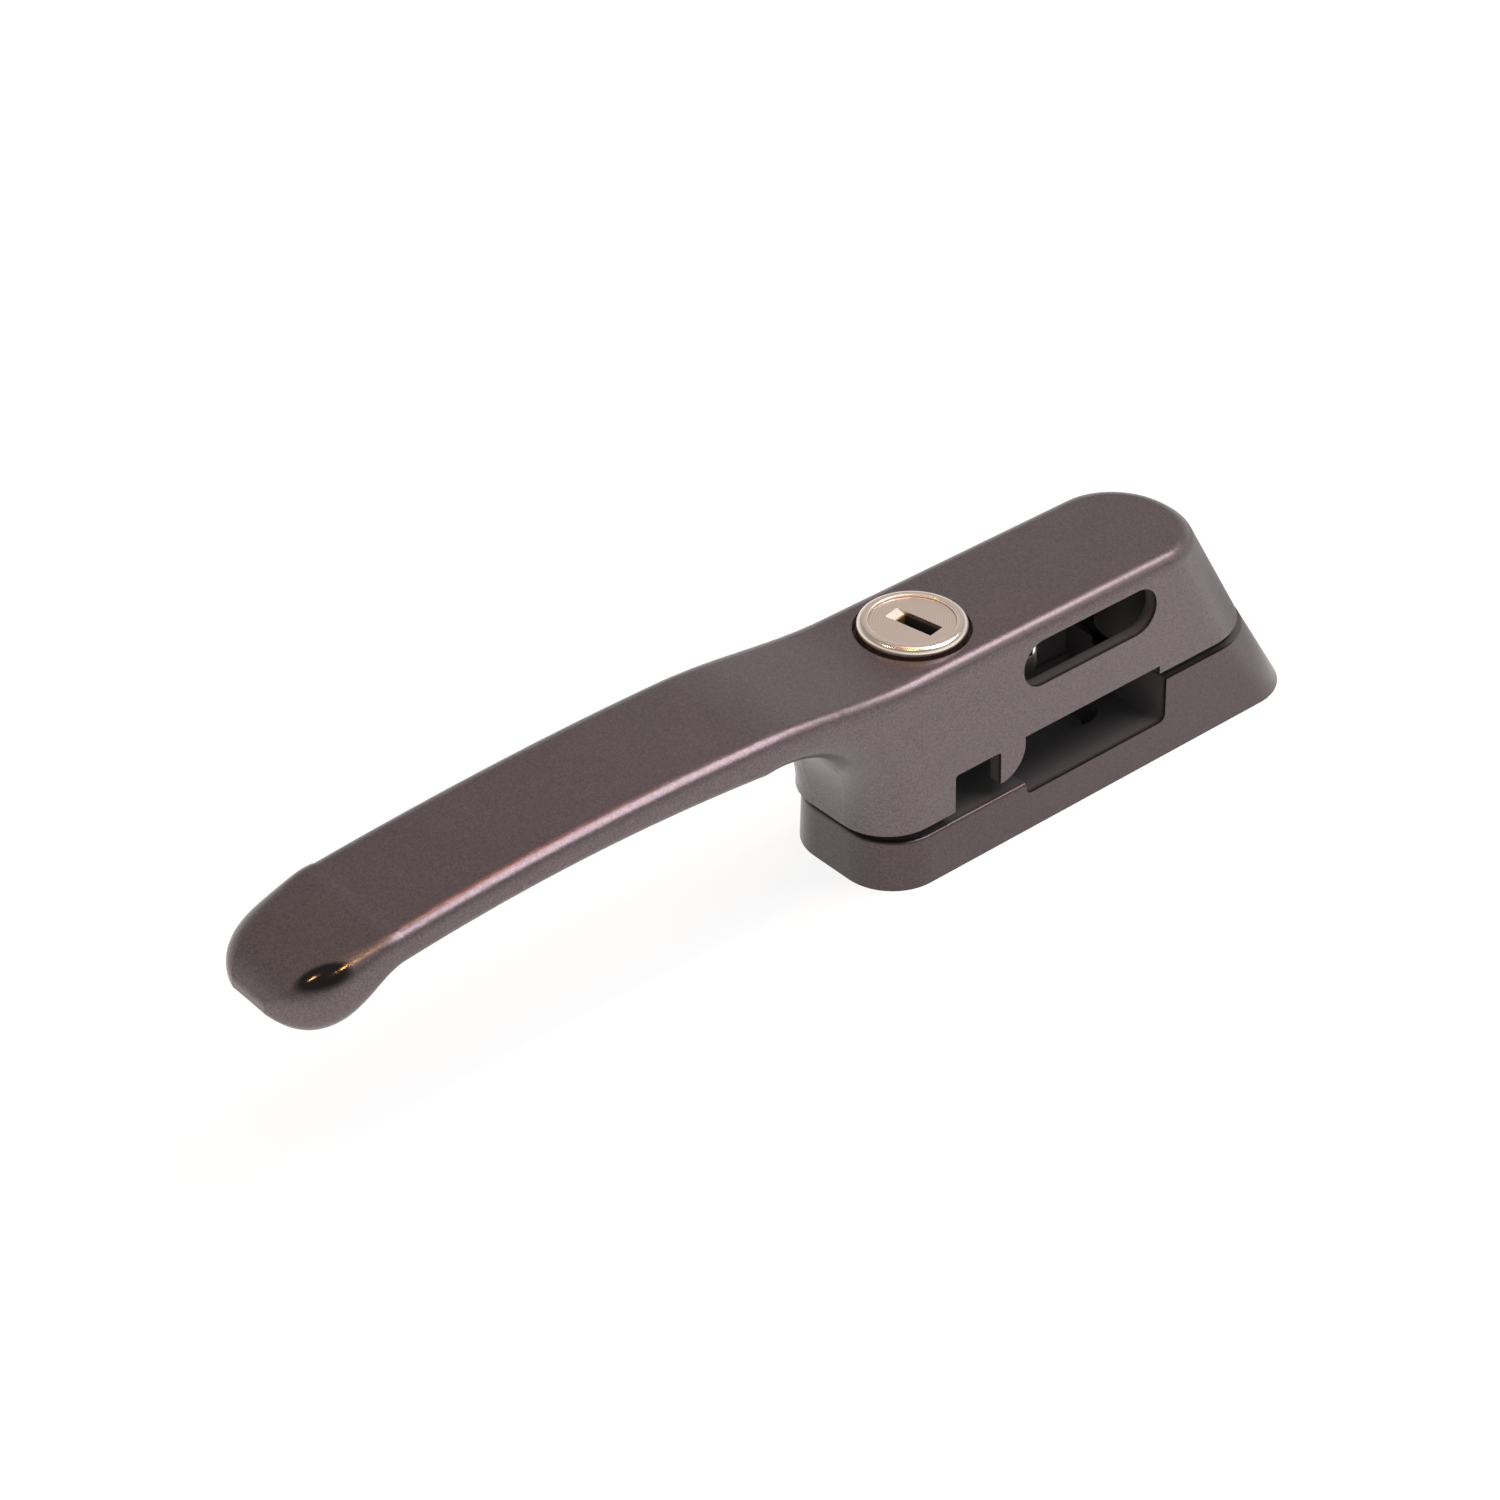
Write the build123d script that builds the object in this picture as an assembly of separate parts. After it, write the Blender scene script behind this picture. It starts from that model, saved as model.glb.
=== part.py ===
from build123d import *
import os
from math import cos, pi, radians, sin, sqrt, tan

# Key-locking window sash lock (casement fastener), all sizes in millimetres.
# +Z points away from the sash, and the lever reaches out along -X.
# The origin is on the base's underside, halfway along the base and on its centre line.
# The housing's open side, which takes the frame's striker tongue, faces -Y.

# ---------------------------------------------------------------- driving dimensions
# Base: a stepped plate, low under the barrel and high under the pivot
BASE_LENGTH = 75.0
BASE_WIDTH = 21.0
BASE_FRONT_HEIGHT = 7.2
BASE_REAR_HEIGHT = 11.8
BASE_FRONT_CORNER = 7.2
BASE_REAR_CORNER = 8.4
BASE_CORNER_GROWTH = 0.11
BASE_SIDE_DRAFT = 1.3
END_SLOPE = 30.5
BASE_EDGE_ROUND = 0.5
PIVOT_FROM_REAR = 20.5
RISER_FROM_PIVOT = 6.2

# Striker notch in the base, below the housing's lower opening
NOTCH_DEPTH = 1.7
NOTCH_FAR_WALL = 3.1
NOTCH_CORNER = 1.0

# Horn of the riser on the far side, which backs the far wall's gap and clears the wall as it swings
HORN_CLEARANCE = 0.5
HORN_THICK = 2.5

# Two countersunk fixing holes
SCREW_FROM_BARREL = 7.2
SCREW_FROM_RISER = 7.8
SCREW_HOLE_R = 2.25
SCREW_HEAD_R = 4.2
SCREW_HEAD_DEPTH = 2.3

# Housing: the hollow part of the casting
AIR_GAP = 1.5
HOUSING_TOP_Z = 30.0
FRONT_OVERHANG = 0.8
SIDE_SETBACK = 0.15
HOUSING_SIDE_DRAFT = 1.2
HOUSING_WALL = 1.9
ROOF = 2.2
TOP_EDGE_ROUND = 2.0
PLAN_CORNER = 7.2

# Openings in the -Y wall, and the far wall's end
VENT_SLOT_HEIGHT = 6.6
VENT_SLOT_FROM_TOP = 2.4
VENT_SLOT_FRONT_OFFSET = 0.4
VENT_SLOT_REAR_OFFSET = 1.1
CATCH_HEIGHT = 5.8
CATCH_FROM_BLOCK = 0.5
CATCH_FROM_RISER = 1.4
TOOTH_TIP_RISE = 0.7
TOOTH_TIP_WIDTH = 0.5
TOOTH_HOLLOW = 1.4
KEEPER_GAP_CLEARANCE = 0.45
KEEPER_GAP_CORNER = 0.5
KEEPER_GAP_HEADROOM = 0.8
FAR_WALL_FROM_RISER = 5.6

# Neck: one hollow arc from the housing's front up to the underside of the lever
NECK_RADIUS = 17.7
NECK_SECTIONS = 7
NECK_DEPTH = 8.5

# Lever: a slightly arched flat bar with a drooping, rounded tip
LEVER_REACH = 84.0
LEVER_CREST_FROM_FRONT = 30.7
LEVER_CREST_RISE = 2.6
LEVER_ARCH_RADIUS = 410.0
LEVER_UNDER_CREST_OFFSET = 9.0
LEVER_THICK = 4.0
LEVER_UNDER_RADIUS = 263.0
LEVER_SECTIONS = 5
LEVER_TAPER = 0.55
LEVER_UNDER_ROUND = 1.2
TIP_LENGTH = 15.3
TIP_SQUARENESS = 2.3
TIP_DROP = 3.8
TIP_END_LIFT = 2.2
TIP_FALL = 2.8
NOSE_ROUND = 0.7

# Pivot
SPINDLE_R = 4.0
SPINDLE_ROOF = 5.0
SPINDLE_FOOT_Z = 0.5
PIVOT_BOSS_WALL = 2.6
BUSH_WALL = 1.5
BUSH_FLANGE_WIDTH = 1.5
BUSH_FLANGE_THICK = 1.0
WASHER_FROM_SIDE = 2.7
WASHER_THICK = 0.7
PIVOT_RECESS_CLEARANCE = 0.8
PIVOT_RECESS_DEPTH = 3.8
RUNNING_CLEARANCE = 0.05
LOOSE_CLEARANCE = 0.3
BEARING_INSET = 1.0
CIRCLIP_THICK = 0.8
CIRCLIP_RISE = 0.7
CIRCLIP_WIDTH = 2.0
CIRCLIP_GROOVE_DEPTH = 0.5
CIRCLIP_GAP = 2.6
CIRCLIP_EAR_R = 1.5
CIRCLIP_EAR_HOLE_R = 0.6
CIRCLIP_EAR_INSET = 0.4
DISC_SPRING_THICK = 0.5

# Lock barrel, which is pushed in and then turned with the key
BARREL_FROM_FRONT = 14.0
BARREL_R = 6.9
BARREL_PROUD = 1.3
BARREL_TRAVEL = 3.2
BARREL_RIM_ROUND = 0.8
BARREL_MOUTH_GAP = 0.5
BARREL_MOUTH_DEPTH = 1.6
BARREL_FIT = 0.04
FACE_RING_WIDTH = 1.5
PLUG_DISH = 0.3
DISH_ROUND = 0.2
FACE_PLATE_THICK = 0.4
PLUG_HEAD_THICK = 1.1
PLUG_HEAD_STEP = 1.1
PLUG_FIT = 0.05
PLUG_TAIL_STEP = 0.9
SPRING_CHAMBER_WALL = 1.4
SPRING_CHAMBER_ROOF = 6.3
PLUG_CLIP_THICK = 0.6
PLUG_CLIP_LIP = 0.2
PLUG_CLIP_GAP = 4.0
PLUG_GROOVE_DEPTH = 0.4

# Keyway, close to square across the lever
KEYWAY_TURN = 10.0
KEYWAY_WIDTH = 2.0
KEYWAY_Y0 = -3.5
KEYWAY_Y1 = 1.85
KEY_MOUTH_MARGIN = 0.2
KEY_RAMP_LENGTH = 1.6
KEYWAY_FLOOR_RISE = 0.4

# Wafers, held in slots across the plug
WAFER_COUNT = 4
WAFER_THICK = 0.6
WAFER_PITCH = 0.95
WAFER_SLOT_HEADROOM = 0.1
WAFER_CORNER_INSET = 0.12
WAFER_END_INSET = 0.8
WAFER_CUT_STEP = 0.25
WAFER_CUT_STEPS = 3
WAFER_CLEARANCE = 0.05
WAFER_SPRING_R = 0.28
WAFER_SPRING_WIRE_R = 0.07
WAFER_SPRING_TURNS = 3
WAFER_POCKET_DEPTH = 1.2
WAFER_POCKET_CLEARANCE = 0.12

# Keeper lug on the base, under the barrel
KEEPER_RISE = 6.1
KEEPER_INNER_REACH = 3.9
KEEPER_OUTER_REACH = 2.25
KEEPER_HALF_ANGLE = 6.0
KEEPER_EDGE_CHAMFER = 0.4
KEEPER_HOLE_CLEARANCE = 0.1
KEEPER_HOLE_SPARE = 0.9
KEEPER_SHANK_R = 2.6
KEEPER_SHANK_FOOT_Z = 1.5

# Locking bolt and spring plate, in the casting's lock block
BLOCK_CLEARANCE = 1.5
BLOCK_WALL = 2.5
PLATE_RISE = 0.9
PLATE_MARGIN = 0.7
PLATE_THICK = 1.0
PLATE_CIRCLIP_THICK = 0.55
PLATE_CIRCLIP_GROOVE = 0.4
PLATE_CIRCLIP_WIDTH = 1.4
PLATE_CIRCLIP_GAP = 3.2
BOLT_NOSE_R = 1.5
BOLT_NOSE_GAP = 0.4
BOLT_NOSE_CHAMFER = 0.4
BOLT_SHANK_R = 1.2
BOLT_SHANK_LENGTH = 3.2
TEE_HALF_LENGTH = 3.2
TEE_WIDTH = 2.4
TEE_HEIGHT = 1.0
PLATE_SLOT_CLEARANCE = 0.2
GUIDE_PIN_R = 0.8
GUIDE_PIN_RISE = 2.0
GUIDE_SLOT_DEPTH = 0.9
GUIDE_SLOT_CLEARANCE = 0.06
GUIDE_NOSE_CLEARANCE = 0.1

# Barrel spring
SPRING_WIRE_R = 0.38
SPRING_SIDE_GAP = 0.12
SPRING_TURNS = 4
SPRING_END_GAP = 0.05

# ---------------------------------------------------------------- values that follow
SLOPE = tan(radians(END_SLOPE))
BASE_DRAFT = tan(radians(BASE_SIDE_DRAFT))
HOUSING_DRAFT = tan(radians(HOUSING_SIDE_DRAFT))

PIVOT_X = BASE_LENGTH / 2 - PIVOT_FROM_REAR
BASE_RISER_X = PIVOT_X - RISER_FROM_PIVOT
HOUSING_FOOT_WIDTH = BASE_WIDTH - 2 * SIDE_SETBACK
HOUSING_FRONT_X = -BASE_LENGTH / 2 - FRONT_OVERHANG
HOUSING_FOOT_Z = BASE_FRONT_HEIGHT + AIR_GAP
HOUSING_REAR_FOOT_Z = BASE_REAR_HEIGHT + AIR_GAP
BARREL_X = HOUSING_FRONT_X + BARREL_FROM_FRONT
BLOCK_REAR_X = BARREL_X + BARREL_R + BLOCK_WALL

# lever, neck and tip
LEVER_CREST_X = HOUSING_FRONT_X - LEVER_CREST_FROM_FRONT
LEVER_CREST_Z = HOUSING_TOP_Z + LEVER_CREST_RISE
LEVER_UNDER_CREST_X = LEVER_CREST_X - LEVER_UNDER_CREST_OFFSET
LEVER_UNDER_CREST_Z = LEVER_CREST_Z - LEVER_THICK
LEVER_START_X = HOUSING_FRONT_X - NECK_RADIUS
LEVER_TIP_X = HOUSING_FRONT_X - LEVER_REACH
TIP_START_X = LEVER_TIP_X + TIP_LENGTH
NECK_CENTRE_X = LEVER_START_X

# barrel and plug, from the face down
BARREL_FACE_Z = HOUSING_TOP_Z + BARREL_PROUD
BARREL_MOUTH_R = BARREL_R + BARREL_MOUTH_GAP
PLUG_HEAD_R = BARREL_R - FACE_RING_WIDTH
PLUG_R = PLUG_HEAD_R - PLUG_HEAD_STEP
PLUG_TAIL_R = PLUG_R - PLUG_TAIL_STEP
PLUG_CLIP_R = PLUG_R + PLUG_CLIP_LIP
PLUG_FACE_Z = BARREL_FACE_Z - PLUG_DISH
SPRING_CHAMBER_R = BARREL_R - SPRING_CHAMBER_WALL
SPRING_CHAMBER_TOP_Z = BARREL_FACE_Z - SPRING_CHAMBER_ROOF
KEYWAY_FLOOR_Z = SPRING_CHAMBER_TOP_Z + KEYWAY_FLOOR_RISE
WAFER_Y = PLUG_R - WAFER_END_INSET
WAFER_HALF_X = sqrt((PLUG_R - WAFER_CORNER_INSET) ** 2 - WAFER_Y ** 2)

# keeper, bolt and spring plate, from the base up
KEEPER_TOP_Z = BASE_FRONT_HEIGHT + KEEPER_RISE
KEEPER_INNER_R = PIVOT_X - BARREL_X - KEEPER_INNER_REACH
KEEPER_OUTER_R = PIVOT_X - BARREL_X + KEEPER_OUTER_REACH
BLOCK_FOOT_Z = KEEPER_TOP_Z + BLOCK_CLEARANCE
PLATE_Z = BLOCK_FOOT_Z + PLATE_RISE
PLATE_TOP_Z = PLATE_Z + PLATE_THICK
PLATE_R = BARREL_R + PLATE_MARGIN
TEE_Z = PLATE_TOP_Z + LOOSE_CLEARANCE
BOLT_NOSE_Z = KEEPER_TOP_Z + BOLT_NOSE_GAP
KEEPER_HOLE_FLOOR_Z = BOLT_NOSE_Z - BARREL_TRAVEL - KEEPER_HOLE_SPARE
BARREL_FOOT_Z = PLATE_TOP_Z + BARREL_TRAVEL + LOOSE_CLEARANCE
PLUG_FOOT_Z = BARREL_FOOT_Z
GUIDE_PIN_Z = BARREL_FOOT_Z + GUIDE_PIN_RISE
SPRING_MEAN_R = SPRING_CHAMBER_R - SPRING_SIDE_GAP - SPRING_WIRE_R

# pivot stack
SPINDLE_TOP_Z = HOUSING_TOP_Z - SPINDLE_ROOF
PIVOT_BOSS_R = SPINDLE_R + PIVOT_BOSS_WALL
BUSH_R = SPINDLE_R + BUSH_WALL
BUSH_FLANGE_R = BUSH_R + BUSH_FLANGE_WIDTH
WASHER_R = BASE_WIDTH / 2 - WASHER_FROM_SIDE
CIRCLIP_R = SPINDLE_R + CIRCLIP_WIDTH
CIRCLIP_EAR_X = CIRCLIP_R - CIRCLIP_EAR_INSET
CIRCLIP_REACH = sqrt(CIRCLIP_EAR_X ** 2 + CIRCLIP_GAP ** 2) + CIRCLIP_EAR_R
PIVOT_RECESS_R = max(WASHER_R, CIRCLIP_REACH) + PIVOT_RECESS_CLEARANCE
CIRCLIP_Z = SPINDLE_FOOT_Z + CIRCLIP_RISE
WASHER_Z = CIRCLIP_Z + CIRCLIP_THICK

# openings
CATCH_X0 = BLOCK_REAR_X + CATCH_FROM_BLOCK
CATCH_X1 = BASE_RISER_X - CATCH_FROM_RISER
CATCH_TOP_Z = HOUSING_FOOT_Z + CATCH_HEIGHT
TOOTH_TIP_Z = HOUSING_FOOT_Z + TOOTH_TIP_RISE
VENT_SLOT_X0 = CATCH_X0 - VENT_SLOT_FRONT_OFFSET
VENT_SLOT_X1 = CATCH_X1 - VENT_SLOT_REAR_OFFSET
VENT_SLOT_Z1 = HOUSING_TOP_Z - VENT_SLOT_FROM_TOP
VENT_SLOT_Z0 = VENT_SLOT_Z1 - VENT_SLOT_HEIGHT
WALL_OUTSIDE_Y = HOUSING_FOOT_WIDTH / 2
WALL_INSIDE_Y = WALL_OUTSIDE_Y - HOUSING_WALL
KEEPER_GAP_X0 = PIVOT_X - sqrt(KEEPER_OUTER_R ** 2 - WALL_INSIDE_Y ** 2) - KEEPER_GAP_CLEARANCE
KEEPER_GAP_X1 = PIVOT_X - sqrt(KEEPER_INNER_R ** 2 - WALL_OUTSIDE_Y ** 2) + KEEPER_GAP_CLEARANCE
KEEPER_GAP_TOP_Z = KEEPER_TOP_Z + KEEPER_GAP_HEADROOM
FAR_WALL_END_X = BASE_RISER_X - FAR_WALL_FROM_RISER
NOTCH_FRONT_X = CATCH_X0 + VENT_SLOT_FRONT_OFFSET
NOTCH_FLOOR_Z = BASE_FRONT_HEIGHT - NOTCH_DEPTH
NOTCH_FAR_Y = BASE_WIDTH / 2 - NOTCH_FAR_WALL
HORN_NEAR_Y = BASE_WIDTH / 2 - HORN_THICK
HORN_R = sqrt((PIVOT_X - FAR_WALL_END_X) ** 2 + WALL_INSIDE_Y ** 2) - HORN_CLEARANCE
SCREW_XS = (BARREL_X - SCREW_FROM_BARREL, BASE_RISER_X - SCREW_FROM_RISER)


# ---------------------------------------------------------------- small helpers
FAR = 100.0


def block(x0, x1, y0, y1, z0, z1):
    """A box given by its two corners."""
    centre = ((x0 + x1) / 2, (y0 + y1) / 2, (z0 + z1) / 2)
    return Pos(*centre) * Box(x1 - x0, y1 - y0, z1 - z0)


def disc(radius, z0, z1, x=0.0, y=0.0):
    """An upright cylinder from z0 to z1."""
    return Pos(x, y, (z0 + z1) / 2) * Cylinder(radius, z1 - z0)


def ring(outer, inner, z0, z1, x=0.0):
    """An upright tube from z0 to z1."""
    return disc(outer, z0, z1, x) - disc(inner, z0 - 1, z1 + 1, x)


def housing_half_width(z):
    """Half the housing's width at height z, with the casting's draft."""
    return HOUSING_FOOT_WIDTH / 2 - (z - HOUSING_FOOT_Z) * HOUSING_DRAFT


def rear_x(z):
    """Where the sloping rear end stands at height z; base and housing share it."""
    return BASE_LENGTH / 2 - z * SLOPE


def plan_outline(z, front_x, back_x, half_width, front_corner, rear_corner):
    """A level outline with rounded corners."""
    corners = [(front_x, -half_width), (back_x, -half_width), (back_x, half_width), (front_x, half_width)]
    sheet = make_face(Polyline(*corners, close=True))
    largest = half_width - 0.3
    sheet = fillet(sheet.vertices().sort_by(Axis.X)[:2], min(front_corner, largest))
    sheet = fillet(sheet.vertices().sort_by(Axis.X)[-2:], min(rear_corner, largest))
    return Pos(0, 0, z) * sheet


# ---------------------------------------------------------------- base
def base_outline(z, inset=0.0):
    half_width = BASE_WIDTH / 2 - z * BASE_DRAFT - inset
    rear_corner = BASE_REAR_CORNER + BASE_CORNER_GROWTH * z
    front_x = -BASE_LENGTH / 2 + z * BASE_DRAFT + inset
    return plan_outline(z, front_x, rear_x(z) - inset, half_width, BASE_FRONT_CORNER - inset, rear_corner)


def make_base_plate():
    """Die-cast base with its striker notch, two fixing holes, and seats for the bush and the keeper."""
    body = loft([base_outline(0.0), base_outline(BASE_REAR_HEIGHT)])
    step = block(-FAR, BASE_RISER_X, -FAR, FAR, BASE_FRONT_HEIGHT, FAR)
    horn = block(-FAR, FAR, HORN_NEAR_Y, FAR, 0, FAR) & disc(HORN_R, 0, FAR, PIVOT_X)
    body -= step - horn
    front_top = body.faces().filter_by(Axis.Z).sort_by(Axis.Z)[1]
    rim = [edge for edge in front_top.edges() if edge.center().X < BASE_RISER_X - 0.1]
    body = fillet(rim, BASE_EDGE_ROUND)
    notch = block(NOTCH_FRONT_X, BASE_RISER_X, -FAR, NOTCH_FAR_Y, NOTCH_FLOOR_Z, BASE_REAR_HEIGHT)
    body -= fillet(notch.edges().filter_by(Axis.Y).group_by(Axis.Z)[0], NOTCH_CORNER)
    for x in SCREW_XS:
        top = NOTCH_FLOOR_Z if x > NOTCH_FRONT_X else BASE_FRONT_HEIGHT
        body -= disc(SCREW_HOLE_R, -1, FAR, x)
        body -= Pos(x, 0, top - SCREW_HEAD_DEPTH / 2) * Cone(SCREW_HOLE_R, SCREW_HEAD_R, SCREW_HEAD_DEPTH)
    body -= disc(BUSH_R, -1, FAR, PIVOT_X)
    body -= disc(BUSH_FLANGE_R, BASE_REAR_HEIGHT - BUSH_FLANGE_THICK, FAR, PIVOT_X)
    body -= disc(PIVOT_RECESS_R, -1, PIVOT_RECESS_DEPTH, PIVOT_X)
    return body - disc(KEEPER_SHANK_R, KEEPER_SHANK_FOOT_Z, FAR, BARREL_X)


def make_keeper_lug():
    """Steel stud whose head is curved about the pivot, so it swings out through the housing's wall."""
    head = ring(KEEPER_OUTER_R, KEEPER_INNER_R, BASE_FRONT_HEIGHT, KEEPER_TOP_Z, PIVOT_X)
    side = FAR * tan(radians(KEEPER_HALF_ANGLE))
    wedge = make_face(Polyline((0, 0), (-FAR, -side), (-FAR, side), close=True))
    head = head & (Pos(PIVOT_X, 0, 0) * extrude(wedge, KEEPER_TOP_Z))
    head = chamfer(head.faces().sort_by(Axis.Z)[-1].edges(), KEEPER_EDGE_CHAMFER)
    lug = head + disc(KEEPER_SHANK_R, KEEPER_SHANK_FOOT_Z, BASE_FRONT_HEIGHT, BARREL_X)
    return lug - disc(BOLT_NOSE_R + KEEPER_HOLE_CLEARANCE, KEEPER_HOLE_FLOOR_Z, FAR, BARREL_X)


def make_bearing_plate():
    """Acetal plate on the base's high part, set in a little from its edge."""
    plate = extrude(base_outline(BASE_REAR_HEIGHT, BEARING_INSET), AIR_GAP - RUNNING_CLEARANCE)
    plate -= block(-FAR, BASE_RISER_X + BEARING_INSET, -FAR, FAR, 0, FAR)
    return plate - disc(SPINDLE_R + LOOSE_CLEARANCE, 0, FAR, PIVOT_X)


def make_pivot_bush():
    """Flanged acetal bush in the base's bore."""
    bush = disc(BUSH_R, PIVOT_RECESS_DEPTH, BASE_REAR_HEIGHT, PIVOT_X)
    bush += disc(BUSH_FLANGE_R, BASE_REAR_HEIGHT - BUSH_FLANGE_THICK, BASE_REAR_HEIGHT, PIVOT_X)
    return bush - disc(SPINDLE_R + RUNNING_CLEARANCE, 0, FAR, PIVOT_X)


# ---------------------------------------------------------------- handle casting
def housing_outline(z, wall=0.0):
    half_width = housing_half_width(z) - wall
    front_x, back_x = HOUSING_FRONT_X + wall, rear_x(z) - wall
    return plan_outline(z, front_x, back_x, half_width, PLAN_CORNER - wall, half_width)


def lever_top_z(x):
    return LEVER_CREST_Z - (x - LEVER_CREST_X) ** 2 / (2 * LEVER_ARCH_RADIUS)


def lever_under_z(x):
    return LEVER_UNDER_CREST_Z - (x - LEVER_UNDER_CREST_X) ** 2 / (2 * LEVER_UNDER_RADIUS)


def draft_envelope():
    """A long prism with the housing's two drafted sides."""
    low, high = HOUSING_FOOT_Z, LEVER_CREST_Z + 2
    wide, narrow = housing_half_width(low), housing_half_width(high)
    section = make_face(Polyline((-wide, low), (wide, low), (narrow, high), (-narrow, high), close=True))
    start = Plane(origin=(LEVER_START_X, 0, 0), x_dir=(0, 1, 0), z_dir=(1, 0, 0))
    return extrude(start * section, BASE_LENGTH / 2 - LEVER_START_X)


def neck_section(angle):
    """One section of the neck, in a plane through the arc's axis; 0 is level, 90 is upright."""
    centre_z = lever_under_z(NECK_CENTRE_X) - NECK_RADIUS
    rise = sin(radians(angle))
    depth_limit = (HOUSING_TOP_Z + 0.8 - centre_z) / max(rise, 0.01)
    inner, outer = NECK_RADIUS, min(NECK_RADIUS + NECK_DEPTH, depth_limit)
    w0 = housing_half_width(centre_z + inner * rise)
    w1 = housing_half_width(centre_z + outer * rise)
    sheet = make_face(Polyline((inner, -w0), (outer, -w1), (outer, w1), (inner, w0), close=True))
    corner = PLAN_CORNER + (LEVER_UNDER_ROUND - PLAN_CORNER) * angle / 90
    sheet = fillet(sheet.vertices().sort_by(Axis.X)[:2], corner)
    radial = (cos(radians(angle)), 0, rise)
    normal = (-rise, 0, cos(radians(angle)))
    return Plane(origin=(NECK_CENTRE_X, 0, centre_z), x_dir=radial, z_dir=normal) * sheet


def make_neck():
    angles = [90 * i / (NECK_SECTIONS - 1) for i in range(NECK_SECTIONS)]
    return loft([neck_section(angle) for angle in angles])


def make_shoulder():
    """The casting's top between the flat housing roof and the arched lever."""
    flat_end_x = BARREL_X - BARREL_R + 0.7
    slope = (LEVER_CREST_X - LEVER_START_X) / LEVER_ARCH_RADIUS
    start = (LEVER_START_X, lever_top_z(LEVER_START_X))
    roof = Spline((flat_end_x, HOUSING_TOP_Z), start, tangents=[(-1, 0), (-1, -slope)])
    under_z = HOUSING_TOP_Z - 0.6
    neck_top_x = LEVER_START_X + NECK_RADIUS / 2
    path = Polyline(start, (LEVER_START_X, under_z), (neck_top_x, under_z),
                    (HOUSING_FRONT_X, HOUSING_TOP_Z - 4), (BARREL_X - 4, HOUSING_TOP_Z - 10),
                    (flat_end_x + 6, HOUSING_TOP_Z), (flat_end_x, HOUSING_TOP_Z))
    side = Plane(origin=(0, FAR / 2, 0), x_dir=(1, 0, 0), z_dir=(0, -1, 0)) * make_face(roof + path)
    return extrude(side, FAR) & draft_envelope()


def lever_section(x, under, top, half_width, under_round, top_round):
    """An upright section across the lever."""
    narrow = half_width - (top - under) * HOUSING_DRAFT
    corners = [(-half_width, under), (half_width, under), (narrow, top), (-narrow, top)]
    sheet = make_face(Polyline(*corners, close=True))
    sheet = fillet(sheet.vertices().sort_by(Axis.Y)[:2], under_round)
    sheet = fillet(sheet.vertices().sort_by(Axis.Y)[-2:], top_round)
    return Plane(origin=(x, 0, 0), x_dir=(0, 1, 0), z_dir=(1, 0, 0)) * sheet


def make_lever_arm(root_face):
    """The arched bar from the shoulder's end face out to the tip."""
    sections = [root_face]
    for i in range(1, LEVER_SECTIONS):
        share = i / (LEVER_SECTIONS - 1)
        x = LEVER_START_X + (TIP_START_X - LEVER_START_X) * share
        under, top = lever_under_z(x), lever_top_z(x)
        half_width = housing_half_width(under) - LEVER_TAPER * sin(share * pi / 2)
        sections.append(lever_section(x, under, top, half_width, LEVER_UNDER_ROUND, TOP_EDGE_ROUND))
    return loft(sections)


def rounding_off(share, start, power):
    """1 up to start, then a superellipse down to 0 at 1."""
    along = max(share - start, 0) / (1 - start)
    return (1 - along ** power) ** (1 / power)


def tip_section(share):
    """A section of the tip; 0 is where it starts and 1 would be its very end."""
    x = TIP_START_X + (LEVER_TIP_X - TIP_START_X) * share
    full = housing_half_width(lever_under_z(TIP_START_X)) - LEVER_TAPER
    droop = TIP_DROP * sin(pi / 2 * min(share / 0.6, 1)) ** 2
    end_lift = TIP_END_LIFT * max((share - 0.6) / 0.4, 0) ** 2
    under = lever_under_z(x) - droop + end_lift
    top = lever_top_z(x) - TIP_FALL * share ** 3
    middle = (under + top) / 2
    half_height = (top - under) / 2 * rounding_off(share, 0.75, 2)
    half_width = full * rounding_off(share, 0.45, TIP_SQUARENESS)
    bulge = min(1, share / 0.6)
    full_round = 0.92 * min(half_height, half_width)
    top_round = min(full_round, (1 - bulge) * TOP_EDGE_ROUND + bulge * full_round)
    under_round = (1 - bulge) * LEVER_UNDER_ROUND + bulge * full_round * 0.95
    return lever_section(x, middle - half_height, middle + half_height, half_width, under_round, top_round)


def make_lever_tip():
    """The tip droops, thickens and rounds off to a blunt nose."""
    tip = loft([tip_section(share) for share in (0, 0.25, 0.5, 0.75, 0.9, 0.98)])
    return fillet(tip.faces().sort_by(Axis.X)[0].edges(), NOSE_ROUND)


def top_rim(edge):
    """True for the edges around the casting's roof."""
    points = [edge @ share for share in (0, 0.5, 1)]
    high = min(point.Z for point in points) > HOUSING_TOP_Z - 0.01
    across = abs(points[0].X - points[2].X) < 0.01 and abs(points[1].X - points[0].X) < 0.01
    return high and not across


def housing_outside():
    """The casting's outer skin without the lever, its top edge rounded."""
    skin = loft([housing_outline(HOUSING_FOOT_Z), housing_outline(HOUSING_TOP_Z)])
    skin = skin + make_neck() + make_shoulder()
    return fillet([edge for edge in skin.edges() if top_rim(edge)], TOP_EDGE_ROUND)


def hollow_inside():
    """The space inside the housing, open at the foot, around the pivot boss and behind the lock block."""
    low, high = HOUSING_FOOT_Z - 1, HOUSING_TOP_Z - ROOF
    space = loft([housing_outline(low, HOUSING_WALL), housing_outline(high, HOUSING_WALL)])
    lock_block = block(-FAR, BLOCK_REAR_X, -FAR, FAR, BLOCK_FOOT_Z, FAR)
    return space - lock_block - disc(PIVOT_BOSS_R, 0, FAR, PIVOT_X)


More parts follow.
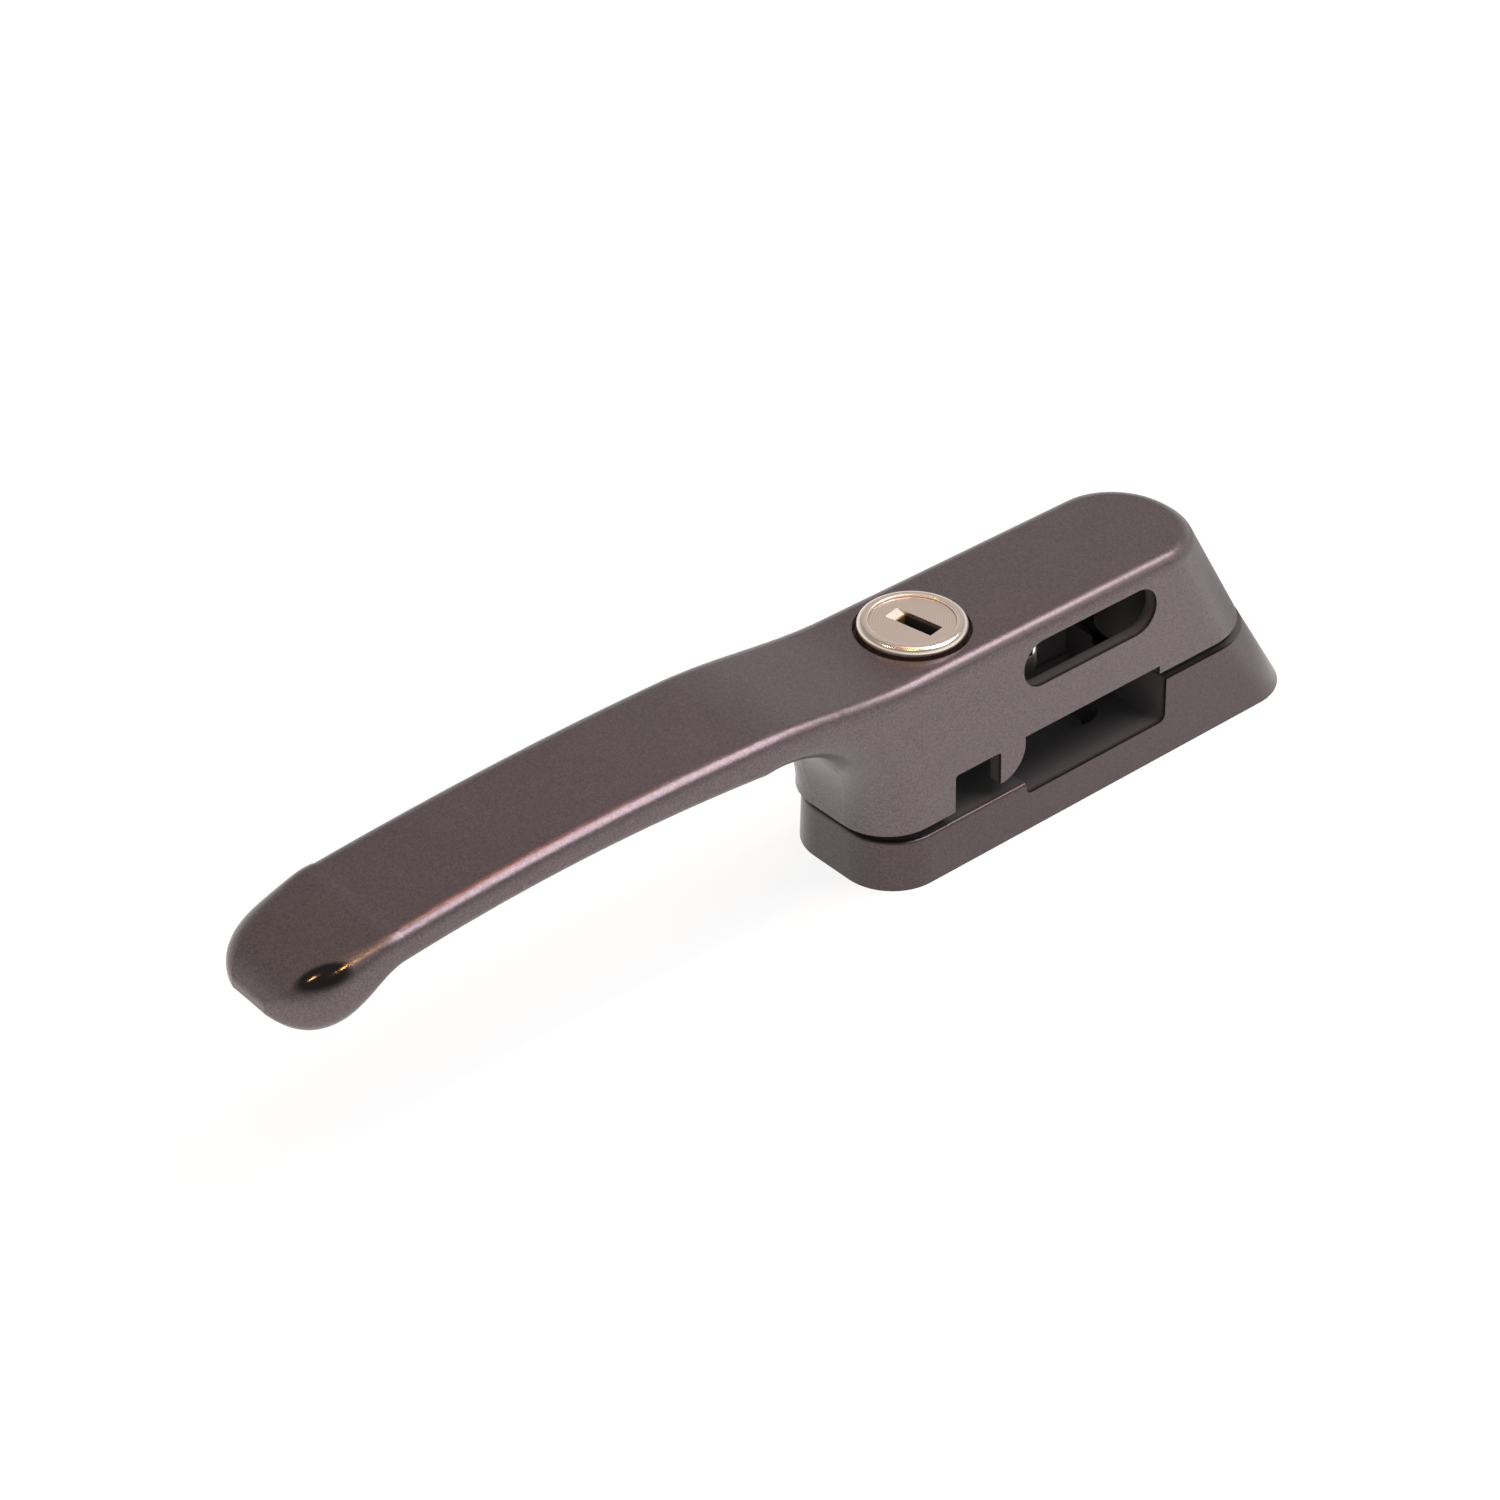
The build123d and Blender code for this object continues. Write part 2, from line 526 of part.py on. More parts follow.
def wall_opening(profile):
    """Cuts a profile drawn in X and Z through the -Y wall."""
    sheet = Plane(origin=(0, 0, 0), x_dir=(1, 0, 0), z_dir=(0, -1, 0)) * profile
    return Pos(0, -WALL_INSIDE_Y / 2, 0) * extrude(sheet, FAR)


def vent_slot():
    length, height = VENT_SLOT_X1 - VENT_SLOT_X0, VENT_SLOT_Z1 - VENT_SLOT_Z0
    centre = ((VENT_SLOT_X0 + VENT_SLOT_X1) / 2, (VENT_SLOT_Z0 + VENT_SLOT_Z1) / 2)
    return wall_opening(Pos(*centre) * SlotOverall(length, height))


def catch_opening():
    """The lower opening, whose front side is the tooth's hollow flank."""
    low = HOUSING_FOOT_Z - 2
    tooth_x = KEEPER_GAP_X1 + TOOTH_TIP_WIDTH
    hollow = (CATCH_X0 - TOOTH_HOLLOW * 0.65, TOOTH_TIP_Z + TOOTH_HOLLOW)
    flank = ThreePointArc((tooth_x, TOOTH_TIP_Z), hollow, (CATCH_X0, CATCH_TOP_Z))
    rest = Polyline((CATCH_X0, CATCH_TOP_Z), (CATCH_X1, CATCH_TOP_Z), (CATCH_X1, low),
                    (KEEPER_GAP_X1, low), (KEEPER_GAP_X1, TOOTH_TIP_Z), (tooth_x, TOOTH_TIP_Z))
    return wall_opening(make_face(flank + rest))


def keeper_gap():
    """The small opening that the keeper lug passes through as the handle opens."""
    low = HOUSING_FOOT_Z - 2
    width, height = KEEPER_GAP_X1 - KEEPER_GAP_X0, KEEPER_GAP_TOP_Z - low
    sheet = Pos(KEEPER_GAP_X0 + width / 2, low + height / 2) * Rectangle(width, height)
    return wall_opening(fillet(sheet.vertices().sort_by(Axis.Y)[-2:], KEEPER_GAP_CORNER))


def lock_bores():
    """The barrel's bore with its wider mouth, and the spring plate's seat with its circlip groove."""
    bores = disc(BARREL_R + BARREL_FIT, 0, FAR, BARREL_X)
    bores += disc(BARREL_MOUTH_R, HOUSING_TOP_Z - BARREL_MOUTH_DEPTH, FAR, BARREL_X)
    bores += disc(PLATE_R, 0, PLATE_TOP_Z, BARREL_X)
    return bores + disc(PLATE_R + PLATE_CIRCLIP_GROOVE, PLATE_Z - PLATE_CIRCLIP_THICK, PLATE_Z, BARREL_X)


def guide_pin_bar(x0, x1):
    return Pos((x0 + x1) / 2, 0, GUIDE_PIN_Z) * Rot(0, 90, 0) * Cylinder(GUIDE_PIN_R, x1 - x0)


def make_handle_casting():
    """Hollow housing and lever in one die casting."""
    skin = housing_outside()
    lever = make_lever_arm(skin.faces().sort_by(Axis.X)[0]) + make_lever_tip()
    casting = skin - hollow_inside()
    # the foot steps up over the base's high part
    casting -= block(CATCH_X1, FAR, -FAR, FAR, 0, HOUSING_REAR_FOOT_Z)
    casting -= block(FAR_WALL_END_X, FAR, 0, FAR, 0, HOUSING_REAR_FOOT_Z)
    casting -= vent_slot() + catch_opening() + keeper_gap()
    casting -= disc(SPINDLE_R, 0, SPINDLE_TOP_Z, PIVOT_X)
    casting -= lock_bores()
    casting -= guide_pin_bar(BARREL_X, BLOCK_REAR_X + 1)
    return casting + lever


# ---------------------------------------------------------------- pivot stack
def make_pivot_spindle():
    """Steel spindle, pressed into the casting's boss, with a circlip groove at its foot."""
    spindle = chamfer(disc(SPINDLE_R, SPINDLE_FOOT_Z, SPINDLE_TOP_Z, PIVOT_X).edges(), 0.3)
    return spindle - ring(SPINDLE_R + 1, SPINDLE_R - CIRCLIP_GROOVE_DEPTH, CIRCLIP_Z, WASHER_Z, PIVOT_X)


def make_retaining_circlip():
    """External circlip with a gap and two ears."""
    ear_x = PIVOT_X - CIRCLIP_EAR_X
    clip = disc(CIRCLIP_R, CIRCLIP_Z, WASHER_Z, PIVOT_X)
    for side in (-CIRCLIP_GAP, CIRCLIP_GAP):
        clip += disc(CIRCLIP_EAR_R, CIRCLIP_Z, WASHER_Z, ear_x, side)
    clip -= block(-FAR, PIVOT_X, -CIRCLIP_GAP / 2, CIRCLIP_GAP / 2, 0, FAR)
    for side in (-CIRCLIP_GAP, CIRCLIP_GAP):
        clip -= disc(CIRCLIP_EAR_HOLE_R, 0, FAR, ear_x, side)
    return clip - disc(SPINDLE_R - CIRCLIP_GROOVE_DEPTH, 0, FAR, PIVOT_X)


def make_thrust_washer():
    return ring(WASHER_R, SPINDLE_R + LOOSE_CLEARANCE, WASHER_Z, WASHER_Z + WASHER_THICK, PIVOT_X)


def make_disc_spring():
    """Conical friction spring: its wide edge on the washer, its narrow edge under the bush's foot."""
    foot, top = WASHER_Z + WASHER_THICK, PIVOT_RECESS_DEPTH - RUNNING_CLEARANCE
    inner, outer = SPINDLE_R + LOOSE_CLEARANCE, WASHER_R
    section = Polyline((outer, foot), (outer, foot + DISC_SPRING_THICK), (inner, top),
                       (inner, top - DISC_SPRING_THICK), close=True)
    return Pos(PIVOT_X, 0, 0) * revolve(Plane.XZ * make_face(section), Axis.Z)


# ---------------------------------------------------------------- lock barrel
def turned(part):
    """The plug and what it carries stand a little off square with the lever."""
    return Pos(BARREL_X, 0, 0) * Rot(0, 0, KEYWAY_TURN) * Pos(-BARREL_X, 0, 0) * part


def keyway(z0, z1, margin=0.0):
    half = KEYWAY_WIDTH / 2 + margin
    return block(BARREL_X - half, BARREL_X + half, KEYWAY_Y0 - margin, KEYWAY_Y1 + margin, z0, z1)


def wafer_z(index):
    return KEYWAY_FLOOR_Z + 0.2 + index * WAFER_PITCH


def guide_slot():
    """An upright slot with round ends in the shell's side, as long as the barrel's travel."""
    half = GUIDE_PIN_R + GUIDE_SLOT_CLEARANCE
    floor_x = BARREL_X + BARREL_R - GUIDE_SLOT_DEPTH
    top_z = GUIDE_PIN_Z + BARREL_TRAVEL
    slot = block(floor_x, floor_x + 2, -half, half, GUIDE_PIN_Z, top_z)
    for z in (GUIDE_PIN_Z, top_z):
        slot += Pos(floor_x + 1, 0, z) * Rot(0, 90, 0) * Cylinder(half, 2)
    return slot


def make_barrel_shell():
    """The barrel's outer shell, bored for the plug and the spring."""
    shell = disc(BARREL_R, BARREL_FOOT_Z, BARREL_FACE_Z, BARREL_X)
    shell = fillet(shell.edges().sort_by(Axis.Z)[-1:], BARREL_RIM_ROUND)
    head_z = PLUG_FACE_Z - PLUG_HEAD_THICK
    shell -= disc(PLUG_HEAD_R + PLUG_FIT, head_z - BARREL_FIT, FAR, BARREL_X)
    face = shell.faces().filter_by(Axis.Z).sort_by(Axis.Z)[-1]
    dish_edge = face.edges().filter_by(GeomType.CIRCLE).sort_by(SortBy.RADIUS)[0]
    shell = fillet([dish_edge], DISH_ROUND)
    shell -= disc(PLUG_R + PLUG_FIT, 0, BARREL_FACE_Z, BARREL_X)
    shell -= disc(SPRING_CHAMBER_R, 0, SPRING_CHAMBER_TOP_Z, BARREL_X)
    return shell - guide_slot()


def make_lock_plug():
    """Brass plug with its keyway, wafer slots, clip groove and a bore for the bolt's shank."""
    head_z = PLUG_FACE_Z - PLUG_HEAD_THICK
    plug = disc(PLUG_HEAD_R, head_z, PLUG_FACE_Z - FACE_PLATE_THICK, BARREL_X)
    plug += disc(PLUG_R, SPRING_CHAMBER_TOP_Z, head_z, BARREL_X)
    plug += disc(PLUG_TAIL_R, PLUG_FOOT_Z, SPRING_CHAMBER_TOP_Z, BARREL_X)
    plug -= keyway(KEYWAY_FLOOR_Z, FAR)
    half, end = WAFER_HALF_X + WAFER_CLEARANCE, WAFER_Y + WAFER_CLEARANCE
    for i in range(WAFER_COUNT):
        top_z = wafer_z(i) + WAFER_THICK + WAFER_SLOT_HEADROOM
        plug -= block(BARREL_X - half, BARREL_X + half, -FAR, end, wafer_z(i), top_z)
    groove_z = SPRING_CHAMBER_TOP_Z - PLUG_CLIP_THICK
    plug -= ring(PLUG_R, PLUG_TAIL_R - PLUG_GROOVE_DEPTH, groove_z, SPRING_CHAMBER_TOP_Z, BARREL_X)
    return turned(plug - disc(BOLT_SHANK_R, 0, PLUG_FOOT_Z + BOLT_SHANK_LENGTH, BARREL_X))


def make_plug_face_plate():
    """Thin plated disc on the plug's head, with the key's mouth and its sloping lead-in."""
    plate = disc(PLUG_HEAD_R, PLUG_FACE_Z - FACE_PLATE_THICK, PLUG_FACE_Z, BARREL_X)
    plate -= keyway(0, FAR, KEY_MOUTH_MARGIN)
    half = KEYWAY_WIDTH / 2 + KEY_MOUTH_MARGIN
    y0 = KEYWAY_Y1 + KEY_MOUTH_MARGIN - 0.01
    above = PLUG_FACE_Z + 0.1
    ramp = Polyline((y0, above), (y0 + KEY_RAMP_LENGTH, above), (y0, PLUG_FACE_Z - FACE_PLATE_THICK * 0.8),
                    close=True)
    side = Plane(origin=(BARREL_X - half, 0, 0), x_dir=(0, 1, 0), z_dir=(1, 0, 0)) * make_face(ramp)
    return turned(plate - extrude(side, 2 * half))


def make_plug_clip():
    """C-shaped clip in the plug's groove, under the shell's shoulder."""
    foot = SPRING_CHAMBER_TOP_Z - PLUG_CLIP_THICK
    clip = ring(PLUG_CLIP_R, PLUG_TAIL_R - PLUG_GROOVE_DEPTH, foot, SPRING_CHAMBER_TOP_Z, BARREL_X)
    return clip - block(-FAR, BARREL_X, -PLUG_CLIP_GAP / 2, PLUG_CLIP_GAP / 2, 0, FAR)


def make_wafer(index):
    """A flat wafer; its window's place along Y is one of the key's steps."""
    z = wafer_z(index) + WAFER_CLEARANCE
    wafer = block(BARREL_X - WAFER_HALF_X, BARREL_X + WAFER_HALF_X, -WAFER_Y, WAFER_Y, z, z + WAFER_THICK)
    half = KEYWAY_WIDTH / 2 + WAFER_CLEARANCE
    low = KEYWAY_Y0 + 0.5 + WAFER_CUT_STEP * (index % WAFER_CUT_STEPS)
    window = block(BARREL_X - half, BARREL_X + half, low, low + KEYWAY_Y1 - KEYWAY_Y0 - 1.4, z - 1, z + 1)
    side = WAFER_SPRING_R + WAFER_POCKET_CLEARANCE
    pocket = block(BARREL_X - side, BARREL_X + side, WAFER_Y - WAFER_POCKET_DEPTH, FAR, z - 1, z + 1)
    return wafer - window - pocket


def make_wafers():
    """Flat brass wafers at the height of the key's cuts, with the right key in."""
    return Compound(children=[turned(make_wafer(i)) for i in range(WAFER_COUNT)])


def coil(radius, wire, length, turns):
    """A coil spring standing on z = 0."""
    rise = length - 2 * wire
    path = Helix(rise / turns, rise, radius)
    start = Plane(origin=path @ 0, z_dir=path % 0)
    return Pos(0, 0, wire) * sweep(start * Circle(wire), path, is_frenet=True)


def make_wafer_springs():
    """A tiny spring in each wafer's pocket."""
    length = WAFER_POCKET_DEPTH - WAFER_CLEARANCE
    mean_r = WAFER_SPRING_R - WAFER_SPRING_WIRE_R
    spring = Rot(-90, 0, 0) * coil(mean_r, WAFER_SPRING_WIRE_R, length, WAFER_SPRING_TURNS)
    foot_y = WAFER_Y - WAFER_POCKET_DEPTH + WAFER_CLEARANCE / 2
    middle = WAFER_CLEARANCE + WAFER_THICK / 2
    springs = [turned(Pos(BARREL_X, foot_y, wafer_z(i) + middle) * spring) for i in range(WAFER_COUNT)]
    return Compound(children=springs)


def make_locking_bolt():
    """T-headed steel bolt: the nose enters the keeper, and the T turns under the spring plate."""
    bolt = disc(BOLT_NOSE_R, BOLT_NOSE_Z, PLUG_FOOT_Z, BARREL_X)
    bolt = chamfer(bolt.edges().sort_by(Axis.Z)[:1], BOLT_NOSE_CHAMFER)
    half = TEE_WIDTH / 2
    tee = block(BARREL_X - half, BARREL_X + half, -FAR, FAR, TEE_Z, TEE_Z + TEE_HEIGHT)
    bolt += tee & disc(TEE_HALF_LENGTH, 0, FAR, BARREL_X)
    return bolt + disc(BOLT_SHANK_R, PLUG_FOOT_Z, PLUG_FOOT_Z + BOLT_SHANK_LENGTH, BARREL_X)


def make_spring_plate():
    """Steel plate across the barrel's bore, slotted for the bolt's T."""
    plate = disc(PLATE_R, PLATE_Z, PLATE_TOP_Z, BARREL_X)
    plate -= disc(BOLT_NOSE_R + PLATE_SLOT_CLEARANCE, 0, FAR, BARREL_X)
    half_x = TEE_WIDTH / 2 + PLATE_SLOT_CLEARANCE
    half_y = TEE_HALF_LENGTH + PLATE_SLOT_CLEARANCE
    return plate - block(BARREL_X - half_x, BARREL_X + half_x, -half_y, half_y, 0, FAR)


def make_plate_circlip():
    """Internal circlip under the spring plate."""
    outer = PLATE_R + PLATE_CIRCLIP_GROOVE
    clip = ring(outer, outer - PLATE_CIRCLIP_WIDTH, PLATE_Z - PLATE_CIRCLIP_THICK, PLATE_Z, BARREL_X)
    return clip - block(-FAR, BARREL_X, -PLATE_CIRCLIP_GAP / 2, PLATE_CIRCLIP_GAP / 2, 0, FAR)


def make_barrel_spring():
    """Coil spring between the spring plate and the barrel's shoulder."""
    length = SPRING_CHAMBER_TOP_Z - PLATE_TOP_Z - 2 * SPRING_END_GAP
    spring = coil(SPRING_MEAN_R, SPRING_WIRE_R, length, SPRING_TURNS)
    return Pos(BARREL_X, 0, PLATE_TOP_Z + SPRING_END_GAP) * spring


def make_guide_pin():
    """Pin in the lock block whose nose runs in the shell's slot."""
    nose_x = BARREL_X + BARREL_R - GUIDE_SLOT_DEPTH + GUIDE_NOSE_CLEARANCE
    return guide_pin_bar(nose_x, BLOCK_REAR_X)


PARTS = {
    "base_plate": make_base_plate,
    "keeper_lug": make_keeper_lug,
    "pivot_bush": make_pivot_bush,
    "bearing_plate": make_bearing_plate,
    "handle_casting": make_handle_casting,
    "pivot_spindle": make_pivot_spindle,
    "disc_spring": make_disc_spring,
    "thrust_washer": make_thrust_washer,
    "retaining_circlip": make_retaining_circlip,
    "guide_pin": make_guide_pin,
    "spring_plate": make_spring_plate,
    "plate_circlip": make_plate_circlip,
    "barrel_shell": make_barrel_shell,
    "barrel_spring": make_barrel_spring,
    "lock_plug": make_lock_plug,
    "plug_face_plate": make_plug_face_plate,
    "plug_clip": make_plug_clip,
    "wafer_tumblers": make_wafers,
    "wafer_springs": make_wafer_springs,
    "locking_bolt": make_locking_bolt,
}

os.makedirs("parts", exist_ok=True)
for name, make in PARTS.items():
    export_step(make(), f"parts/{name}.step")
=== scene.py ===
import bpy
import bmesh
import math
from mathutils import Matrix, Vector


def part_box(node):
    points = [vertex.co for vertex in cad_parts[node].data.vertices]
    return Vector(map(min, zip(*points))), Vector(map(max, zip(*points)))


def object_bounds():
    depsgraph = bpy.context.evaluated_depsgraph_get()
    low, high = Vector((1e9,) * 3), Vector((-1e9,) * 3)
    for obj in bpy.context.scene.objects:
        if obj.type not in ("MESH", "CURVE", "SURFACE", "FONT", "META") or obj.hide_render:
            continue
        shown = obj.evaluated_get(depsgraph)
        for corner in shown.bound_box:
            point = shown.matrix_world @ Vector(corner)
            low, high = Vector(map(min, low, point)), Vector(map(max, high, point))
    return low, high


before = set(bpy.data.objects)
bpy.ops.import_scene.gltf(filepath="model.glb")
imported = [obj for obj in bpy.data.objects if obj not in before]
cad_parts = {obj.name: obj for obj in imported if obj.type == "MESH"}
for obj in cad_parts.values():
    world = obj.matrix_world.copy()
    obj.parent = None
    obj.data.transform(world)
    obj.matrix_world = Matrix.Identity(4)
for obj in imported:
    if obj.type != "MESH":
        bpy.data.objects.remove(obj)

# %% [markdown]
# # A bronze window sash lock
# The lock arrives as a frame of finished solids: a base, a lever casting, a key barrel and the springs,
# clips and pins that make them work. Each is a node of its own at its real size. Shape and motion are
# done, so this script is about what the eye judges: the camera, the light and the finish of every
# surface. Nothing from the frame is moved or cut, so every joint keeps working.

MM = 0.001
cad_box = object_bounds()
cad_low, cad_high = Vector(cad_box[0]), Vector(cad_box[1])
centre = (cad_low + cad_high) / 2
print("frame, mm:", [round(v / MM, 1) for v in (*cad_low, *cad_high)])

# %% [markdown]
# ## Camera
# A long lens flattens a small object, as in a trade catalogue. The camera is placed by what can be
# measured on a studio table: the angle round the object, the angle above it, a little roll and the
# distance. An orthographic view would be quicker to set, but the perspective shows how the lever comes
# towards the viewer.

# %% Camera
VIEW_AZIMUTH = -39.84
VIEW_ELEVATION = 35.28
VIEW_ROLL = -0.96
VIEW_DISTANCE = 450 * MM
LENS_MM = 86.75
SENSOR_MM = 36
AIM = Vector((-40.2, 12.2, 12.75)) * MM


def add_camera():
    """A camera that looks at the aim point from the given angles and distance."""
    azimuth, elevation = math.radians(VIEW_AZIMUTH), math.radians(VIEW_ELEVATION)
    level = math.cos(elevation)
    forward = Vector((-math.sin(azimuth) * level, math.cos(azimuth) * level, -math.sin(elevation)))
    data = bpy.data.cameras.new("camera")
    data.lens = LENS_MM
    data.sensor_width = SENSOR_MM
    camera = bpy.data.objects.new("camera", data)
    turn = forward.to_track_quat("-Z", "Y").to_matrix().to_4x4()
    roll = Matrix.Rotation(math.radians(VIEW_ROLL), 4, "Z")
    camera.matrix_world = Matrix.Translation(AIM - forward * VIEW_DISTANCE) @ turn @ roll
    bpy.context.scene.collection.objects.link(camera)
    bpy.context.scene.camera = camera
    return camera


camera = add_camera()
print("camera at, mm:", [round(v / MM, 1) for v in camera.matrix_world.translation])

# %% [markdown]
# ## Helpers for every material
# A finish is a small graph of nodes. One function adds a node, gives it its settings and joins its
# inputs, so a material reads as a list of what it is made of. Colours are written as the hex values of
# a paint chart and turned to the linear light that the renderer adds up. A texture's scale is the
# number of grains in a metre, so each pattern is given by the size of its grain in millimetres. The last
# helper ends every metal and plastic with one Principled shader.

# %% Helpers for materials


def linear(hex_colour):
    """A paint-chart hex colour as linear RGBA."""
    parts = [int(hex_colour[i:i + 2], 16) / 255 for i in (1, 3, 5)]
    return (*[c / 12.92 if c <= 0.04045 else ((c + 0.055) / 1.055) ** 2.4 for c in parts], 1.0)


def add(tree, kind, inputs=None, **settings):
    """Adds a node; an input takes a value or another node's output."""
    node = tree.nodes.new(kind)
    for name, value in settings.items():
        setattr(node, name, value)
    for name, value in (inputs or {}).items():
        if isinstance(value, bpy.types.NodeSocket):
            tree.links.new(value, node.inputs[name])
        else:
            node.inputs[name].default_value = value
    return node


def new_material(name):
    """An empty material; returns it and its node tree."""
    material = bpy.data.materials.new(name)
    material.use_nodes = True
    material.node_tree.nodes.clear()
    return material, material.node_tree


def per_mm(size):
    """Texture scale for a pattern whose grain is this many millimetres."""
    return 1 / (size * MM)


def surface(tree, colour, roughness, normal, **shader):
    """Ends a material with one Principled shader; keyword names have _ for a space."""
    inputs = {"Base Color": colour, "Roughness": roughness, "Normal": normal}
    inputs.update({name.replace("_", " "): value for name, value in shader.items()})
    principled = add(tree, "ShaderNodeBsdfPrincipled", inputs)
    add(tree, "ShaderNodeOutputMaterial", {"Surface": principled.outputs[0]})


print("sheet white in linear light:", [round(v, 3) for v in linear("#f4f3f3")[:3]])

# %% [markdown]
# ## Floor
# The lock lies on a sheet of matt white paper. Paper lit by the same lamps as the lock would come out
# grey, so the camera and mirror-like metal see most of the sheet as plain white, and the rest is true
# lit paper, which keeps the soft shadow that sets the lock down on it. Light that bounces up into the
# lock's underside still comes from true paper.

# %% Floor
PAPER = "#f4f3f3"
FLOOR_HALF = 3.0
PAPER_GLOW = 0.86
PAPER_LIT_SHARE = 0.22


def seen_directly(tree):
    """1 for a camera, mirror or glass ray, 0 for the rays that carry soft light."""
    path = add(tree, "ShaderNodeLightPath").outputs
    either = add(tree, "ShaderNodeMath", {0: path["Is Camera Ray"], 1: path["Is Glossy Ray"]},
                 operation="MAXIMUM")
    glass = {0: either.outputs[0], 1: path["Is Transmission Ray"]}
    return add(tree, "ShaderNodeMath", glass, operation="MAXIMUM").outputs[0]


def studio_paper():
    """Matt white paper with a glow that only the camera and shiny metal see."""
    material, tree = new_material("white_studio_paper")
    lit = add(tree, "ShaderNodeBsdfDiffuse", {"Color": linear(PAPER)})
    share = linear(PAPER)[0] * PAPER_LIT_SHARE
    dim_lit = add(tree, "ShaderNodeBsdfDiffuse", {"Color": (share, share, share, 1)})
    glow = add(tree, "ShaderNodeEmission", {"Color": (1, 1, 1, 1), "Strength": PAPER_GLOW})
    shown = add(tree, "ShaderNodeAddShader", {0: dim_lit.outputs[0], 1: glow.outputs[0]})
    mix = add(tree, "ShaderNodeMixShader", {0: seen_directly(tree), 1: lit.outputs[0],
                                            2: shown.outputs[0]})
    add(tree, "ShaderNodeOutputMaterial", {"Surface": mix.outputs[0]})
    return material


def add_floor():
    """One flat square of paper under the lock."""
    grid = bmesh.new()
    bmesh.ops.create_grid(grid, x_segments=1, y_segments=1, size=FLOOR_HALF)
    mesh = bpy.data.meshes.new("floor")
    grid.to_mesh(mesh)
    grid.free()
    mesh.materials.append(studio_paper())
    sheet = bpy.data.objects.new("floor", mesh)
    bpy.context.scene.collection.objects.link(sheet)
    return sheet


floor = add_floor()
print("floor, m:", [round(v, 2) for v in floor.dimensions])

# %% [markdown]
# ## World
# Satin metal shows the room more than it shows its own colour. This room is a white tent that is
# bright round its sides and dimmer overhead, which makes the lock's flat top darker than its upright
# sides and draws a pale line along each rounded edge. An even white sky would give every face the same
# tone, and the form would be lost.

# %% World
SKY_BACKDROP = 1.0
SKY_SOFT_LIGHT = 0.55
SKY_SIDES = 1.0
SKY_OVERHEAD = 0.34
SIDES_END = math.sin(math.radians(8))
OVERHEAD_STARTS = math.sin(math.radians(38))


def add_world():
    """Plain white for the camera; for shiny metal, white sides that dim towards overhead."""
    world = bpy.data.worlds.new("studio_tent")
    bpy.context.scene.world = world
    world.use_nodes = True
    tree = world.node_tree
    tree.nodes.clear()
    path = add(tree, "ShaderNodeLightPath")
    direction = add(tree, "ShaderNodeTexCoord").outputs["Generated"]
    height = add(tree, "ShaderNodeSeparateXYZ", {0: direction}).outputs["Z"]
    fade = add(tree, "ShaderNodeMapRange", {"Value": height, "From Min": SIDES_END,
                                            "From Max": OVERHEAD_STARTS, "To Min": SKY_SIDES,
                                            "To Max": SKY_OVERHEAD}, interpolation_type="SMOOTHSTEP")
    mirror = add(tree, "ShaderNodeMix", {"Factor": seen_directly(tree), "A": SKY_SOFT_LIGHT,
                                         "B": fade.outputs[0]})
    whole = add(tree, "ShaderNodeMix", {"Factor": path.outputs["Is Camera Ray"], "A": mirror.outputs[0],
                                        "B": SKY_BACKDROP})
    sky = add(tree, "ShaderNodeBackground", {"Color": (1, 1, 1, 1), "Strength": whole.outputs[0]})
    add(tree, "ShaderNodeOutputWorld", {"Surface": sky.outputs[0]})


add_world()
bpy.context.scene.view_settings.view_transform = "Standard"
print("overhead starts at height", round(OVERHEAD_STARTS, 2), "of 1")

# %% [markdown]
# ## Lamps
# One broad, faintly violet softbox stands to the right and high up. Its reflection is the long soft
# streak on the lever's near shoulder. A weak amber panel beyond the lever warms the bronze just above
# that streak, and two small amber lamps give the gold points on the lever's tip and the barrel's rim.
# White lamps alone would leave the bronze grey. The price is that from straight above, the amber lamps
# lay warm patches on the lever's flat top.

# %% Lamps
LAMPS = {
    "softbox": dict(azimuth=-24, elevation=62, distance=0.8, size=(0.6, 0.42), power=5.2,
                    colour="#fff4fd"),
    "amber_panel": dict(azimuth=42, elevation=68, distance=0.8, size=(0.12, 0.12), power=0.5,
                        colour="#ff9a4c"),
    "amber_point_left": dict(azimuth=150, elevation=62, distance=0.7, size=(0.045, 0.045), power=0.6,
                             colour="#ffca74"),
    "amber_point_near": dict(azimuth=-130, elevation=72, distance=0.7, size=(0.045, 0.045), power=0.6,
                             colour="#ffca74"),
}


def add_lamp(name, azimuth, elevation, distance, size, power, colour):
    """A rectangular soft light that points at the lock; azimuth 0 is +X and 90 is +Y; power in watts."""
    data = bpy.data.lights.new(name, "AREA")
    data.shape = "RECTANGLE"
    data.size, data.size_y = size
    data.energy = power
    data.color = linear(colour)[:3]
    lamp = bpy.data.objects.new(name, data)
    level = math.cos(math.radians(elevation))
    toward = Vector((level * math.cos(math.radians(azimuth)), level * math.sin(math.radians(azimuth)),
                     math.sin(math.radians(elevation))))
    turn = (-toward).to_track_quat("-Z", "Y").to_matrix().to_4x4()
    lamp.matrix_world = Matrix.Translation(centre + toward * distance) @ turn
    bpy.context.scene.collection.objects.link(lamp)


for lamp_name, lamp in LAMPS.items():
    add_lamp(lamp_name, **lamp)
print("lamps:", len(LAMPS))
